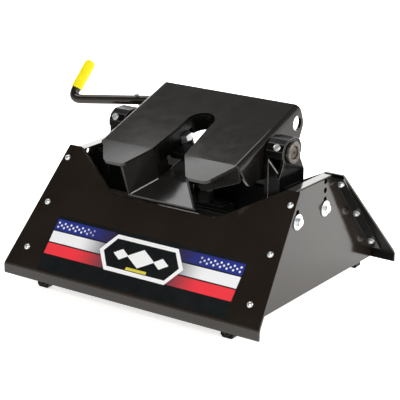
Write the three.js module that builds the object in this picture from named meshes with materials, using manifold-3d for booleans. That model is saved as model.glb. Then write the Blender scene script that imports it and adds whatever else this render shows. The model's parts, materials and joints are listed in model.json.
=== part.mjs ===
// A fifth wheel hitch: a pitched head with one locking hook, carried between four bent base panels.
// Millimetres. +X is the passenger side, +Y points at the cab and +Z is up. The pivot axis of the
// head lies at Y = 0 and the lugs stand on Z = 0. The base is drawn about X = 0, and the whole
// hitch is then moved along X so that the origin is under the middle of its overall width.
import * as THREE from 'three';
import { mergeVertices } from 'three/addons/utils/BufferGeometryUtils.js';
import Module from 'manifold-3d';

const wasm = await Module();
wasm.setup();

// ---------- driving dimensions ----------
const GAP = 0.3; // clearance between pieces that touch
const SHEET = 5; // base panel thickness
const FOOT_HEIGHT = 26; // lugs reach this far below the panels
const RAIL_SPACING = 558.8; // front to rear, between the lug centres
const PANEL = {
  footY: 315, // outer face of the bottom lip
  bendZ: 51,
  topY: 95.5,
  topZ: 307,
  footHalf: 371,
  topHalf: 336,
  notchHalfTop: 304,
  notchHalf: 152,
  notchT: 0.69, // how far up the slope the notch floor lies
  rearTopZ: 299.5, // the rear panel ends lower than the front one
};
const SIDE_X = 310; // outer face of a side panel
const SIDE_FLANGE_X = 338;
const SIDE_TOP_Z = 297;
const SIDE_TOP_FLANGE = 25;
const FOOT_FLANGE = 62;
const PANEL_BOLT_X = 325;
const PANEL_BOLT_T = [0.894, 0.526, 0.159];
const HEIGHT_HOLE = { y: 62, z: 221.7, pitch: 22.3, count: 4, radius: 7 };
const LUG = { x: 270, width: 37, thickness: 18, hole: 6.5, chamfer: 6 };
const BEAM = { halfY: 37, z0: 190, z1: 284, wall: 6, halfX: 298.4 };
const END_PLATE = { halfY: 88, z0: 165, z1: 279 };
const PIVOT_Z = 364;
const HEAD_TILT = THREE.MathUtils.degToRad(19.6);
const UPRIGHT = { inner: 208, outer: 246, thickness: 8, foot: 236 }; // x of each plate, z of the foot
const INNER_PLATE = { half: 46, shoulder: 335, neck: 41.5 }; // half widths along y, and a height
const OUTER_PLATE = { half: 55, shoulder: 313, neck: 38 };
const PIN_RADIUS = 15;
const BUSH = { body: 22, flange: 27 };
const HEAD = {
  half: 203,
  sheet: 8,
  top: 40,
  rear: 134,
  bend: -136,
  bendRadius: 15,
  rampLength: 67.3,
  rampAngle: THREE.MathUtils.degToRad(8.8),
  rampOuter: [194, 148],
  rampInner: [47, 92],
};
const SLOT = { radius: 37.5, centreY: 1, taperY: -30, mouth: 47 };
const WEB_FRONT = -135.7;
const HOOK_WINDOW = -40; // the left wall of the casting is open behind this, over the hook
const CASTING = { wall: 16, front: -121, rimZ: 10.6, deepZ: -9 };
const GUIDE = { skirtEnd: -96, skirtStep: -121.3, floorTop: -45, floorEnd: -58, slotFloor: -9.3 };
const HOOK = { x: -41, y: -18, z0: -28, z1: -10, boss: 19, neck: 27.5 };
const HANDLE = {
  start: [-132, 96.7],
  turn: [-424, 22.3],
  z: 17,
  radius: 12,
  bendRadius: 24,
  grip: [16, 91, 60],
  boltAlong: 112, // from the inner end of the rod to the handle bolt
};
const CAP = [[42, -7], [42, 9], [33, 25], [17, 33.5]]; // outside of the pivot cap, (y, z) from the pin
const CAP_BOLT_X = 236;
const SPRING = { turns: 7, radius: 13.7, wire: 1.1, length: 50, setback: 5 };
const STOP_SHELF = 240; // top of the pitch stop bar
const STOP_HALF = 125;
const STOP_PAD = { x0: 66, x1: 96, y0: -112, y1: -90, top: 266.5 }; // the webs of the head rest on it
const CENTRE_X = 30.6; // half the amount by which the handle makes the hitch wider on the left

// ---------- materials ----------
const finish = (color, roughness, metalness) =>
  new THREE.MeshStandardMaterial({ color, roughness, metalness });
const blackCoat = finish(0x1b1817, 0.28, 0.1);
const blackSatin = finish(0x242322, 0.45, 0.1);
const castBlack = finish(0x161616, 0.35, 0.2);
const zinc = finish(0xc9ced3, 0.32, 0.9);
const bareSteel = finish(0x8d8b88, 0.4, 0.9);
const yellowGrip = finish(0xf7e409, 0.5, 0);
const rubber = finish(0x1d1d1d, 0.8, 0);

// ---------- solids ----------
function solid(geometry) {
  const bare = geometry.clone();
  bare.deleteAttribute('normal');
  bare.deleteAttribute('uv');
  const merged = mergeVertices(bare, 1e-4);
  return new wasm.Manifold(
    new wasm.Mesh({
      numProp: 3,
      vertProperties: Float32Array.from(merged.attributes.position.array),
      triVerts: Uint32Array.from(merged.index.array),
    }),
  );
}

function geometryOf(body) {
  const mesh = body.getMesh();
  const geometry = new THREE.BufferGeometry();
  geometry.setAttribute('position', new THREE.BufferAttribute(mesh.vertProperties, 3));
  geometry.setIndex(new THREE.BufferAttribute(mesh.triVerts, 1));
  geometry.computeVertexNormals();
  return geometry;
}

function node(parent, name, body, material) {
  const mesh = new THREE.Mesh(geometryOf(body), material);
  mesh.name = name;
  parent.add(mesh);
  return mesh;
}

const outline = (points) => new THREE.Shape(points.map(([a, b]) => new THREE.Vector2(a, b)));

// An outline whose corners are rounded where a point has a third value, its radius.
function rounded(points) {
  const shape = new THREE.Shape();
  const count = points.length;
  points.forEach(([a, b, radius = 0], i) => {
    const corner = new THREE.Vector2(a, b);
    const before = new THREE.Vector2(...points[(i + count - 1) % count]);
    const after = new THREE.Vector2(...points[(i + 1) % count]);
    const start = corner.clone().add(before.sub(corner).setLength(radius));
    const end = corner.clone().add(after.sub(corner).setLength(radius));
    if (i === 0) shape.moveTo(start.x, start.y);
    else shape.lineTo(start.x, start.y);
    if (radius > 0) shape.quadraticCurveTo(corner.x, corner.y, end.x, end.y);
  });
  return shape;
}

const AXES = {
  x: new THREE.Matrix4().set(0, 0, 1, 0, 1, 0, 0, 0, 0, 1, 0, 0, 0, 0, 0, 1), // outline in (y, z)
  y: new THREE.Matrix4().set(1, 0, 0, 0, 0, 0, -1, 0, 0, 1, 0, 0, 0, 0, 0, 1), // outline in (x, z)
  z: new THREE.Matrix4(), // outline in (x, y)
};

// Extrudes an outline along an axis, from one coordinate on that axis to the other.
function prism(axis, shape, from, to, curveSegments = 6) {
  const depth = to - from;
  const geometry = new THREE.ExtrudeGeometry(shape, { depth, bevelEnabled: false, curveSegments });
  geometry.translate(0, 0, axis === 'y' ? -to : from);
  geometry.applyMatrix4(AXES[axis]);
  return solid(geometry);
}

function box(x0, x1, y0, y1, z0, z1) {
  const geometry = new THREE.BoxGeometry(x1 - x0, y1 - y0, z1 - z0);
  geometry.translate((x0 + x1) / 2, (y0 + y1) / 2, (z0 + z1) / 2);
  return solid(geometry);
}

// Turns a profile of (radius, distance) pairs about the line through start along direction.
function turned(profile, start, direction, segments = 16) {
  const points = profile.map(([radius, distance]) => new THREE.Vector2(radius, distance));
  const geometry = new THREE.LatheGeometry(points, segments);
  const up = new THREE.Vector3(0, 1, 0);
  const along = new THREE.Vector3(...direction).normalize();
  geometry.applyQuaternion(new THREE.Quaternion().setFromUnitVectors(up, along));
  geometry.translate(...start);
  return solid(geometry);
}

const rod = (radius, start, direction, from, to, segments = 16) =>
  turned([[0, from], [radius, from], [radius, to], [0, to]], start, direction, segments);

const ring = (outer, inner, start, direction, from, to, segments = 24) =>
  turned(
    [[inner, from], [outer, from], [outer, to], [inner, to], [inner, from]],
    start,
    direction,
    segments,
  );

// A hexagonal prism: its across-flats size is twice the inner radius.
const hexagon = (flats, start, direction, from, to) =>
  rod(flats / Math.sqrt(3), start, direction, from, to, 6);

const mirrorY = (body) => body.mirror([0, 1, 0]);
const mirrorX = (body) => body.mirror([1, 0, 0]);

// ---------- base panels ----------
const slopeY = PANEL.footY - PANEL.topY;
const slopeZ = PANEL.topZ - PANEL.bendZ;
const slopeLength = Math.hypot(slopeY, slopeZ);
const alongSlope = [slopeY / slopeLength, slopeZ / slopeLength]; // (y, z) on the front panel
const inward = [alongSlope[1], -alongSlope[0]];

// The point at fraction t up the front slope, set in from the outer face by depth.
function onSlope(t, depth = 0) {
  return [
    -PANEL.footY + t * slopeY + depth * inward[0],
    PANEL.bendZ + t * slopeZ + depth * inward[1],
  ];
}

const boltHoles = () =>
  [-PANEL_BOLT_X, PANEL_BOLT_X].flatMap((x) => PANEL_BOLT_T.map((t) => [x, ...onSlope(t)]));

function panelHole([x, y, z]) {
  return rod(5.4, [x, y, z], [0, ...inward], -12, 30, 10);
}

function frontPanel() {
  const lipInner = -PANEL.footY + SHEET;
  const slopeStart = onSlope(0, SHEET);
  const innerBendZ = slopeStart[1] + ((lipInner - slopeStart[0]) * slopeZ) / slopeY;
  const section = outline([
    [-PANEL.footY, FOOT_HEIGHT],
    [lipInner, FOOT_HEIGHT],
    [lipInner, innerBendZ],
    onSlope(1, SHEET),
    onSlope(1),
    [-PANEL.footY, PANEL.bendZ],
  ]);
  const notchZ = onSlope(PANEL.notchT)[1];
  const front = rounded([
    [-PANEL.footHalf, FOOT_HEIGHT - 1],
    [PANEL.footHalf, FOOT_HEIGHT - 1],
    [PANEL.footHalf, PANEL.bendZ],
    [PANEL.topHalf, PANEL.topZ + 0.5, 3],
    [PANEL.notchHalfTop, PANEL.topZ + 0.5, 4],
    [PANEL.notchHalf, notchZ, 8],
    [-PANEL.notchHalf, notchZ, 8],
    [-PANEL.notchHalfTop, PANEL.topZ + 0.5, 4],
    [-PANEL.topHalf, PANEL.topZ + 0.5, 3],
    [-PANEL.footHalf, PANEL.bendZ],
  ]);
  let panel = prism('x', section, -PANEL.footHalf, PANEL.footHalf);
  panel = panel.intersect(prism('y', front, -PANEL.footY - 1, 0));
  for (const hole of boltHoles()) panel = panel.subtract(panelHole(hole));
  return panel;
}

// The right panel, or the left one before it is mirrored. The top flange of both is folded to the left.
function sidePanel(hand) {
  const inner = SIDE_X - SHEET;
  const offset = SHEET + GAP;
  const footY = 300;
  const slopeAtFoot = onSlope(0, offset);
  const cornerZ = slopeAtFoot[1] + ((-footY - slopeAtFoot[0]) * slopeZ) / slopeY;
  const topY = slopeAtFoot[0] + ((SIDE_TOP_Z - slopeAtFoot[1]) * slopeY) / slopeZ;
  const plate = outline([
    [-footY, FOOT_HEIGHT + 4],
    [footY, FOOT_HEIGHT + 4],
    [footY, cornerZ],
    [-topY, SIDE_TOP_Z],
    [topY, SIDE_TOP_Z],
    [-footY, cornerZ],
  ]);
  const flange = outline([
    onSlope(0.05, offset),
    onSlope(0.05, offset + SHEET),
    onSlope(0.955, offset + SHEET),
    onSlope(0.955, offset),
  ]);
  const frontFlange = prism('x', flange, inner, SIDE_FLANGE_X);
  const reach = -topY - 6;
  const fold = hand === 'right' ? SIDE_X - SIDE_TOP_FLANGE : inner + SIDE_TOP_FLANGE;
  let panel = prism('x', plate, inner, SIDE_X)
    .add(frontFlange)
    .add(mirrorY(frontFlange))
    .add(box(Math.min(inner, fold), Math.max(SIDE_X, fold), -reach, reach, SIDE_TOP_Z - SHEET, SIDE_TOP_Z))
    .add(box(SIDE_X - FOOT_FLANGE, SIDE_X, -footY, footY, FOOT_HEIGHT + 4, FOOT_HEIGHT + 9));
  for (const hole of boltHoles()) {
    const drill = panelHole(hole);
    panel = panel.subtract(drill).subtract(mirrorY(drill));
  }
  for (const y of [-HEIGHT_HOLE.y, HEIGHT_HOLE.y]) {
    for (let i = 0; i < HEIGHT_HOLE.count; i += 1) {
      const z = HEIGHT_HOLE.z + i * HEIGHT_HOLE.pitch;
      panel = panel.subtract(rod(HEIGHT_HOLE.radius, [0, y, z], [1, 0, 0], inner - 5, SIDE_X + 5));
    }
  }
  return panel;
}

function panelBolt(x, t, side) {
  const [y, z] = onSlope(t, -GAP);
  const profile = [[0, -4.4], [4.4, -3.9], [7.4, -1.2], [7.6, 0], [5, 0], [5, 18], [0, 18]];
  const bolt = turned(profile, [x, y, z], [0, ...inward], 12);
  return side === 'front' ? bolt : mirrorY(bolt);
}

function heightBolt(y) {
  const start = [SIDE_X + GAP, y, HEIGHT_HOLE.z];
  return rod(6.35, start, [1, 0, 0], -11.4, 1, 12)
    .add(rod(19, start, [1, 0, 0], 0, 3, 24))
    .add(hexagon(19, start, [1, 0, 0], 2.9, 11));
}

function lug() {
  const half = LUG.width / 2;
  const front = outline([
    [-half + LUG.chamfer, 0],
    [half - LUG.chamfer, 0],
    [half, LUG.chamfer],
    [half, FOOT_HEIGHT + 4 - GAP],
    [-half, FOOT_HEIGHT + 4 - GAP],
    [-half, LUG.chamfer],
  ]);
  const body = prism('y', front, -LUG.thickness / 2, LUG.thickness / 2);
  return body.subtract(rod(LUG.hole, [0, 0, 14], [0, 1, 0], -20, 20, 12));
}

// ---------- centre section ----------
function crossbeam() {
  const { halfY, z0, z1, wall } = BEAM;
  const section = rounded([
    [-halfY, z0],
    [-halfY + wall, z0],
    [-halfY + wall, z1 - wall],
    [halfY - wall, z1 - wall],
    [halfY - wall, z0],
    [halfY, z0],
    [halfY, z1, 8],
    [-halfY, z1, 8],
  ]);
  return prism('x', section, -BEAM.halfX, BEAM.halfX);
}

function endPlate() {
  const { halfY, z0, z1 } = END_PLATE;
  let plate = box(BEAM.halfX + GAP, SIDE_X - SHEET - GAP, -halfY, halfY, z0, z1);
  for (const y of [-HEIGHT_HOLE.y, HEIGHT_HOLE.y]) {
    for (let i = 0; i < HEIGHT_HOLE.count; i += 1) {
      const z = HEIGHT_HOLE.z + i * HEIGHT_HOLE.pitch;
      plate = plate.subtract(rod(HEIGHT_HOLE.radius, [0, y, z], [1, 0, 0], 290, SIDE_X));
    }
  }
  return plate;
}

function capOutline(inset) {
  const [foot, shoulder, chamfer, top] = CAP;
  const half = [
    [foot[0] - inset, foot[1]],
    [shoulder[0] - inset, shoulder[1] - 0.35 * inset],
    [chamfer[0] - 0.62 * inset, chamfer[1] - 0.8 * inset],
    [top[0] - 0.2 * inset, top[1] - inset],
  ];
  const other = half.map(([y, z]) => [-y, z]).reverse();
  return [...half, ...other].map(([y, z]) => [y, PIVOT_Z + z]);
}

// A pivot plate: it straddles the crossbeam and follows the inside of the cap round the pin.
function upright(from, { half, shoulder, neck }) {
  const to = from + UPRIGHT.thickness;
  const top = capOutline(SHEET + GAP);
  const capFoot = PIVOT_Z - 9;
  const edge = [
    [half, UPRIGHT.foot],
    [half, shoulder],
    [neck, capFoot - 13],
    [neck, capFoot],
    [top[0][0], capFoot],
  ];
  const otherEdge = edge.map(([y, z]) => [-y, z]).reverse();
  const saddle = BEAM.halfY + GAP;
  return prism('x', outline([...edge, ...top, ...otherEdge]), from, to)
    .subtract(box(from - 1, to + 1, -saddle, saddle, UPRIGHT.foot - 1, BEAM.z1 + GAP))
    .subtract(rod(BUSH.body + GAP, [0, 0, PIVOT_Z], [1, 0, 0], from - 5, to + 5, 24));
}

function pivotCap() {
  const inner = capOutline(SHEET);
  const lowered = [[inner[0][0], inner[0][1] - 5], ...inner, [-inner[0][0], inner[0][1] - 5]];
  const outer = prism('x', outline(capOutline(0)), UPRIGHT.inner, UPRIGHT.outer + UPRIGHT.thickness);
  return outer.subtract(prism('x', outline(lowered), UPRIGHT.inner - 5, UPRIGHT.outer + 20));
}

function capBolt() {
  const [, shoulder, chamfer] = CAP;
  const facing = [0, shoulder[1] - chamfer[1], chamfer[0] - shoulder[0]];
  const y = -(shoulder[0] + chamfer[0]) / 2;
  const z = PIVOT_Z + (shoulder[1] + chamfer[1]) / 2;
  const outward = [0, facing[1], -facing[2]];
  const start = new THREE.Vector3(CAP_BOLT_X, y, z).addScaledVector(
    new THREE.Vector3(...outward).normalize(),
    GAP,
  );
  return rod(8, start, outward, 0, 1.6, 20).add(hexagon(12, start, outward, 1.5, 7));
}

function pivotBushing() {
  const start = [0, 0, PIVOT_Z];
  const from = UPRIGHT.inner + 1;
  const face = UPRIGHT.outer + UPRIGHT.thickness + GAP;
  return ring(BUSH.body, PIN_RADIUS + GAP, start, [1, 0, 0], from, face + 1)
    .add(ring(BUSH.flange, PIN_RADIUS + GAP, start, [1, 0, 0], face, face + 7));
}

// The web between the two pivot plates, in front of the beam and behind it.
function gusset() {
  const inner = UPRIGHT.inner + UPRIGHT.thickness + GAP;
  const outer = UPRIGHT.outer - GAP;
  const { foot } = UPRIGHT;
  const face = outline([[inner, foot], [outer, foot], [outer, 321], [inner, 352]]);
  return prism('y', face, -45.5, -39.5);
}

function stopBar() {
  const front = -BEAM.halfY - GAP;
  const section = outline([
    [front, 200],
    [front, 228],
    [-60, STOP_SHELF],
    [-103.3, STOP_SHELF],
    [-103.3, STOP_SHELF - 7],
    [-62, STOP_SHELF - 8],
    [front - 8, 224],
    [front - 8, 200],
  ]);
  return prism('x', section, -STOP_HALF, STOP_HALF);
}

function stopPad() {
  const { x0, x1, y0, y1, top } = STOP_PAD;
  return box(x0, x1, y0, y1, STOP_SHELF + GAP, top);
}

// ---------- head, in its own frame: X as above, Y along the plate towards the cab, Z its normal ----------
const rampDropY = HEAD.rampLength * Math.cos(HEAD.rampAngle);
const rampDropZ = HEAD.rampLength * Math.sin(HEAD.rampAngle);
const rampEnd = HEAD.bend - rampDropY;
const underside = HEAD.top - HEAD.sheet;

function slotOutline(grow) {
  const radius = SLOT.radius + grow;
  const shape = new THREE.Shape();
  shape.moveTo(SLOT.mouth + grow, HEAD.bend);
  shape.lineTo(radius, SLOT.taperY);
  shape.lineTo(radius, SLOT.centreY);
  shape.absarc(0, SLOT.centreY, radius, 0, Math.PI, false);
  shape.lineTo(-radius, SLOT.taperY);
  shape.lineTo(-SLOT.mouth - grow, HEAD.bend);
  return shape;
}

function headTop() {
  const side = outline([
    [HEAD.rear, underside],
    [HEAD.rear, HEAD.top],
    [HEAD.bend, HEAD.top],
    [rampEnd, HEAD.top - rampDropZ],
    [rampEnd, HEAD.top - rampDropZ - HEAD.sheet],
    [HEAD.bend, underside],
  ]);
  const [outerTop, outerEnd] = HEAD.rampOuter;
  const [innerTop, innerEnd] = HEAD.rampInner;
  const ramp = rounded([
    [innerTop, HEAD.bend + 2],
    [innerTop, HEAD.bend],
    [innerEnd, rampEnd, 9],
    [outerEnd, rampEnd, 12],
    [outerTop, HEAD.bend],
    [outerTop, HEAD.bend + 2],
  ]);
  const deck = rounded([
    [-HEAD.half, HEAD.bend],
    [HEAD.half, HEAD.bend],
    [HEAD.half, HEAD.rear, 10],
    [-HEAD.half, HEAD.rear, 10],
  ]);
  const rampPlan = prism('z', ramp, 0, 60);
  let plan = prism('z', deck, 0, 60).add(rampPlan).add(mirrorX(rampPlan));
  plan = plan.subtract(prism('z', slotOutline(0), -1, 61, 16));
  return prism('x', side, -HEAD.half, HEAD.half).intersect(plan);
}

function headFlange() {
  const side = rounded([
    [HEAD.bend, HEAD.top],
    [HEAD.bend, 30],
    [-129, -6, 6],
    [-116, -34, 10],
    [-84, -34, 8],
    [-36, -60, 10],
    [-14, -74, 10],
    [14, -74, 10],
    [52, -52, 16],
    [99, -48, 14],
    [137, -14, 14],
    [137, 14, 8],
    [HEAD.rear, HEAD.top],
  ]);
  const inner = HEAD.half - HEAD.sheet;
  return prism('x', side, inner, HEAD.half)
    .subtract(rod(18.5, [0, 111, 2.5], [1, 0, 0], 150, 250, 24))
    .subtract(rod(PIN_RADIUS + GAP, [0, 0, 0], [1, 0, 0], 150, 250, 24));
}

// What the bend radius takes off the square corner between deck and flange.
function bendRelief() {
  const radius = HEAD.bendRadius;
  const corner = new THREE.Shape();
  corner.moveTo(HEAD.half - radius, HEAD.top + 1);
  corner.lineTo(HEAD.half - radius, HEAD.top);
  corner.absarc(HEAD.half - radius, HEAD.top - radius, radius, Math.PI / 2, 0, true);
  corner.lineTo(HEAD.half + 1, HEAD.top - radius);
  corner.lineTo(HEAD.half + 1, HEAD.top + 1);
  return prism('y', corner, -250, 200, 6);
}

function headPlate() {
  const flange = headFlange();
  const relief = bendRelief();
  const [sx, sy] = HANDLE.start;
  const along = handleDirection();
  const clearance = rod(HANDLE.radius + 2.5, [sx, sy + GAP, HANDLE.z], along, 20, 110, 20);
  return headTop()
    .add(flange)
    .add(mirrorX(flange).subtract(clearance))
    .subtract(relief)
    .subtract(mirrorX(relief));
}

function throatCasting() {
  const { wall, front, rimZ, deepZ } = CASTING;
  const keep = box(-80, 80, front, 70, deepZ, underside - GAP);
  const ringWall = prism('z', slotOutline(wall), deepZ, underside - GAP, 12)
    .subtract(prism('z', slotOutline(0), deepZ - 1, underside + 1, 16))
    .intersect(keep);
  return ringWall.subtract(box(-90, 0, HOOK_WINDOW, 12, deepZ - 1, rimZ));
}

// One side of the throat: it flares under the ramp and turns straight back under the deck.
function throatGuide() {
  const [innerTop, innerEnd] = HEAD.rampInner;
  const { skirtEnd, skirtStep, floorTop, floorEnd, slotFloor } = GUIDE;
  const thickness = 6;
  const flared = outline([
    [innerTop, WEB_FRONT - 0.5],
    [innerTop + thickness, WEB_FRONT - 0.5],
    [innerEnd + thickness, rampEnd],
    [innerEnd, rampEnd],
  ]);
  const straight = outline([
    [innerTop, WEB_FRONT - 0.5],
    [innerTop - 4, skirtEnd],
    [innerTop - 4 + thickness, skirtEnd],
    [innerTop + thickness, WEB_FRONT - 0.5],
  ]);
  const top = underside - GAP;
  const rise = underside - rampDropZ - GAP;
  const flaredSide = outline([
    [WEB_FRONT, top],
    [WEB_FRONT, floorTop],
    [HEAD.bend, floorTop],
    [rampEnd, floorEnd],
    [rampEnd, rise],
    [HEAD.bend, top],
  ]);
  const straightSide = outline([
    [WEB_FRONT - 1, floorTop],
    [WEB_FRONT - 1, top],
    [skirtStep, top],
    [skirtStep, slotFloor],
    [skirtEnd, slotFloor],
    [skirtEnd, floorTop],
  ]);
  const flare = prism('z', flared, -80, 60).intersect(prism('x', flaredSide, 0, 120));
  return flare.add(prism('z', straight, -80, 60).intersect(prism('x', straightSide, 0, 120)));
}

function throatFloor() {
  const { floorTop, floorEnd } = GUIDE;
  const top = [
    [rampEnd, floorEnd - GAP],
    [HEAD.bend, floorTop - GAP],
    [-122, floorTop - 0.5],
    [-34, floorTop - 0.5],
  ];
  const bottom = top.map(([y, z]) => [y, z - SHEET]).reverse();
  const [innerTop, innerEnd] = HEAD.rampInner;
  const half = [
    [innerEnd + 6, rampEnd],
    [innerTop + 6, HEAD.bend],
    [innerTop - 2, -90],
    [innerTop - 6, -34, 8],
  ];
  const plan = rounded([...half, ...half.map(([x, y, r]) => [-x, y, r]).reverse()]);
  return prism('x', outline([...top, ...bottom]), -120, 120).intersect(prism('z', plan, -90, 0));
}

function frontWeb() {
  const inner = HEAD.rampInner[0] + 7;
  const outer = HEAD.half - HEAD.sheet - GAP;
  const face = rounded([
    [inner, underside - GAP],
    [inner, -40, 4],
    [inner + 26, -58, 14],
    [outer, -8, 8],
    [outer, underside - GAP],
  ]);
  return prism('y', face, WEB_FRONT, WEB_FRONT + 6);
}

function pivotPin() {
  return rod(PIN_RADIUS, [0, 0, 0], [1, 0, 0], 188, 259, 24)
    .add(rod(23, [0, 0, 0], [1, 0, 0], 184, HEAD.half - HEAD.sheet - GAP, 24));
}

// ---------- locking hook ----------
function hook() {
  const shape = new THREE.Shape();
  const { x, y, boss, neck } = HOOK;
  shape.moveTo(x - 4, y + boss);
  shape.absarc(x, y, boss, Math.PI / 2, 0.2, true);
  shape.absarc(0, 0, neck, Math.PI * 1.14, Math.PI * 1.68, false);
  shape.quadraticCurveTo(28, -28, 28, -44);
  shape.quadraticCurveTo(27, -70, 4, -74);
  shape.lineTo(-46, -74);
  shape.quadraticCurveTo(-62, -72, -68, -44);
  shape.lineTo(x - 38, y - 8);
  shape.lineTo(x - 38, y + 8);
  shape.lineTo(x - boss, y + 12);
  const flat = prism('z', shape, HOOK.z0, HOOK.z1, 10);
  return flat.subtract(rod(8.4, [x, y, 0], [0, 0, 1], -60, 60, 20));
}

function hookBolt() {
  const start = [HOOK.x, HOOK.y, 0];
  return rod(8, start, [0, 0, 1], HOOK.z0 - 4, 0, 20)
    .add(hexagon(28, start, [0, 0, 1], HOOK.z1 + GAP, CASTING.rimZ - GAP))
    .add(rod(13.6, start, [0, 0, 1], HOOK.z0 - 7, HOOK.z0 - GAP, 20));
}

// ---------- release handle ----------
function handleDirection() {
  const [sx, sy] = HANDLE.start;
  const [tx, ty] = HANDLE.turn;
  return new THREE.Vector3(tx - sx, ty - sy, 0).normalize().toArray();
}

function handlePath(reach) {
  const start = new THREE.Vector3(...HANDLE.start, HANDLE.z);
  const turn = new THREE.Vector3(...HANDLE.turn, HANDLE.z);
  const grip = new THREE.Vector3(...HANDLE.grip).normalize();
  const outward = new THREE.Vector3(...handleDirection());
  const into = turn.clone().addScaledVector(outward, -HANDLE.bendRadius * 1.3);
  const outOf = turn.clone().addScaledVector(grip, HANDLE.bendRadius * 1.3);
  const path = new THREE.CurvePath();
  path.add(new THREE.LineCurve3(start, into));
  path.add(new THREE.QuadraticBezierCurve3(into, turn, outOf));
  path.add(new THREE.LineCurve3(outOf, turn.clone().addScaledVector(grip, reach)));
  return path;
}

function handleRod() {
  const section = new THREE.Shape();
  section.absarc(0, 0, HANDLE.radius, 0, 2 * Math.PI, false);
  const options = { steps: 44, curveSegments: 6, bevelEnabled: false, extrudePath: handlePath(96) };
  return solid(new THREE.ExtrudeGeometry(section, options))
    .subtract(handleBoltCut());
}

function handleBoltAt() {
  const [sx, sy] = HANDLE.start;
  const [dx, dy] = handleDirection();
  return [sx + dx * HANDLE.boltAlong, sy + dy * HANDLE.boltAlong, HANDLE.z];
}

const handleBoltCut = () => rod(3.5, handleBoltAt(), [0, 0, 1], -20, 20, 12);

function handleBolt() {
  const start = handleBoltAt();
  return rod(3.1, start, [0, 0, 1], -HANDLE.radius - 3, HANDLE.radius + 0.5, 12)
    .add(hexagon(10, start, [0, 0, 1], HANDLE.radius + GAP, HANDLE.radius + 6));
}

function gripSleeve() {
  const turn = [...HANDLE.turn, HANDLE.z];
  const { radius } = HANDLE;
  const outer = radius + 2.2;
  const profile = [
    [radius + GAP, 33],
    [outer, 33],
    [outer, 104],
    [outer - 3, 110],
    [outer - 8, 112],
    [0, 112],
    [0, 96 + GAP],
    [radius + GAP, 96 + GAP],
    [radius + GAP, 33],
  ];
  return turned(profile, turn, HANDLE.grip, 24);
}

function lockBar() {
  const [sx, sy] = HANDLE.start;
  const reach = HOOK.x - 39.5;
  const plan = rounded([
    [sx + 2, sy + 14, 6],
    [sx + 2, sy - 14, 4],
    [reach - 22, HOOK.y - 10, 4],
    [reach, HOOK.y - 10, 3],
    [reach, HOOK.y + 10, 3],
    [sx + 26, sy + 14, 8],
  ]);
  const riser = box(sx + 3.5, sx + 20, sy - 12, sy + 14, HOOK.z1 - 2, HANDLE.z + 8);
  return prism('z', plan, HOOK.z0 + 1, HOOK.z1 - 1).add(riser);
}

class Coil extends THREE.Curve {
  getPoint(t, target = new THREE.Vector3()) {
    const { turns, radius, length } = SPRING;
    const angle = 2 * Math.PI * turns * t;
    return target.set(radius * Math.cos(angle), radius * Math.sin(angle), length * t);
  }
}

function latchSpring() {
  const section = new THREE.Shape();
  section.absarc(0, 0, SPRING.wire, 0, 2 * Math.PI, false);
  const steps = SPRING.turns * 10;
  const options = { steps, curveSegments: 3, bevelEnabled: false, extrudePath: new Coil() };
  const geometry = new THREE.ExtrudeGeometry(section, options);
  const along = new THREE.Vector3(...handleDirection());
  geometry.applyQuaternion(
    new THREE.Quaternion().setFromUnitVectors(new THREE.Vector3(0, 0, 1), along),
  );
  const [sx, sy] = HANDLE.start;
  const { setback } = SPRING;
  geometry.translate(sx + setback * along.x, sy + setback * along.y, HANDLE.z);
  return solid(geometry);
}

// ---------- assembly ----------
const hitch = new THREE.Group();

const front = frontPanel();
node(hitch, 'front_panel', front, blackCoat);
const aboveRear = box(-PANEL.footHalf, PANEL.footHalf, 0, PANEL.footY, PANEL.rearTopZ, PANEL.topZ + 5);
node(hitch, 'rear_panel', mirrorY(front).subtract(aboveRear), blackCoat);
node(hitch, 'side_panel_right', sidePanel('right'), blackCoat);
node(hitch, 'side_panel_left', mirrorX(sidePanel('left')), blackCoat);

for (const end of ['front', 'rear']) {
  for (const [hand, x] of [['left', -PANEL_BOLT_X], ['right', PANEL_BOLT_X]]) {
    PANEL_BOLT_T.forEach((t, i) => {
      node(hitch, `${end}_panel_bolt_${hand}_${i + 1}`, panelBolt(x, t, end), zinc);
    });
    const foot = node(hitch, `mounting_lug_${end}_${hand}`, lug(), blackCoat);
    foot.position.set(Math.sign(x) * LUG.x, ((end === 'front' ? -1 : 1) * RAIL_SPACING) / 2, 0);
  }
}

node(hitch, 'crossbeam', crossbeam(), blackSatin);
node(hitch, 'pitch_stop_bar', stopBar(), blackSatin);

const sides = [['right', (body) => body], ['left', mirrorX]];
for (const [hand, place] of sides) {
  for (const [end, y] of [['front', -HEIGHT_HOLE.y], ['rear', HEIGHT_HOLE.y]]) {
    node(hitch, `height_bolt_${end}_${hand}`, place(heightBolt(y)), zinc);
  }
  node(hitch, `end_plate_${hand}`, place(endPlate()), blackSatin);
  node(hitch, `pivot_upright_inner_${hand}`, place(upright(UPRIGHT.inner, INNER_PLATE)), blackSatin);
  node(hitch, `pivot_upright_outer_${hand}`, place(upright(UPRIGHT.outer, OUTER_PLATE)), blackSatin);
  node(hitch, `pivot_cap_${hand}`, place(pivotCap()), castBlack);
  node(hitch, `pivot_cap_bolt_${hand}`, place(capBolt()), zinc);
  node(hitch, `pivot_bushing_${hand}`, place(pivotBushing()), bareSteel);
  node(hitch, `pivot_gusset_front_${hand}`, place(gusset()), blackSatin);
  node(hitch, `pivot_gusset_rear_${hand}`, place(mirrorY(gusset())), blackSatin);
  node(hitch, `pitch_stop_pad_${hand}`, place(stopPad()), rubber);
}

const head = new THREE.Group();
head.position.z = PIVOT_Z;
head.rotation.x = HEAD_TILT;
hitch.add(head);

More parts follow.
